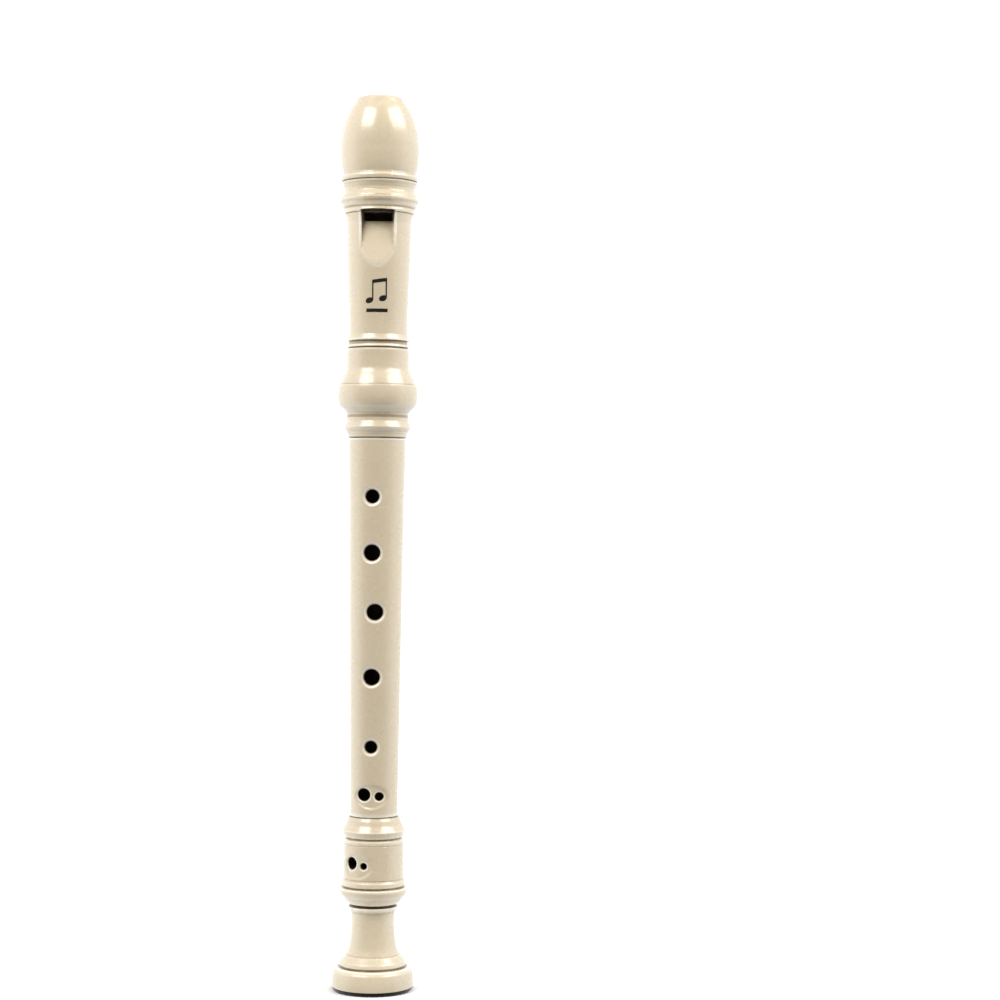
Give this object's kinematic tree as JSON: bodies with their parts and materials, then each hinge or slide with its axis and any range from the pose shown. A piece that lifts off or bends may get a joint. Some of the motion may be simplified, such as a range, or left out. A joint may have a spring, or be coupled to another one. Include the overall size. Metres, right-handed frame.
{
  "type": "soprano recorder",
  "caption": "Moulded soprano recorder in three joints: a beaked head with a windway, a window and a bulged socket, a tapering middle joint with finger holes, and a ringed foot with a flared end.",
  "frame": {"origin": "centre of the foot's end face, the lowest point of the standing recorder", "axes": "+Z along the bore from the foot to the tip of the beak, -Y out of the window and the finger holes, +X to the right of someone facing the window"},
  "size_m": [0.0302, 0.0302, 0.33],
  "materials": {
    "ivory_plastic": "gloss"
  },
  "bodies": {
    "middle": {"middle_joint": "ivory_plastic"},
    "head": {"beak_cap": "ivory_plastic", "windway_block": "ivory_plastic", "head_tube": "ivory_plastic"},
    "foot": {"foot_joint": "ivory_plastic"}
  },
  "joints": [
    {"name": "head_pull", "type": "slide", "parent": "middle", "child": "head", "axis": [0, 0, 1], "range_m": [0, 0.026]},
    {"name": "foot_turn", "type": "hinge", "parent": "middle", "child": "foot", "pos_m": [0, 0, 0.058], "axis": [0, 0, 1], "continuous": true}
  ]
}
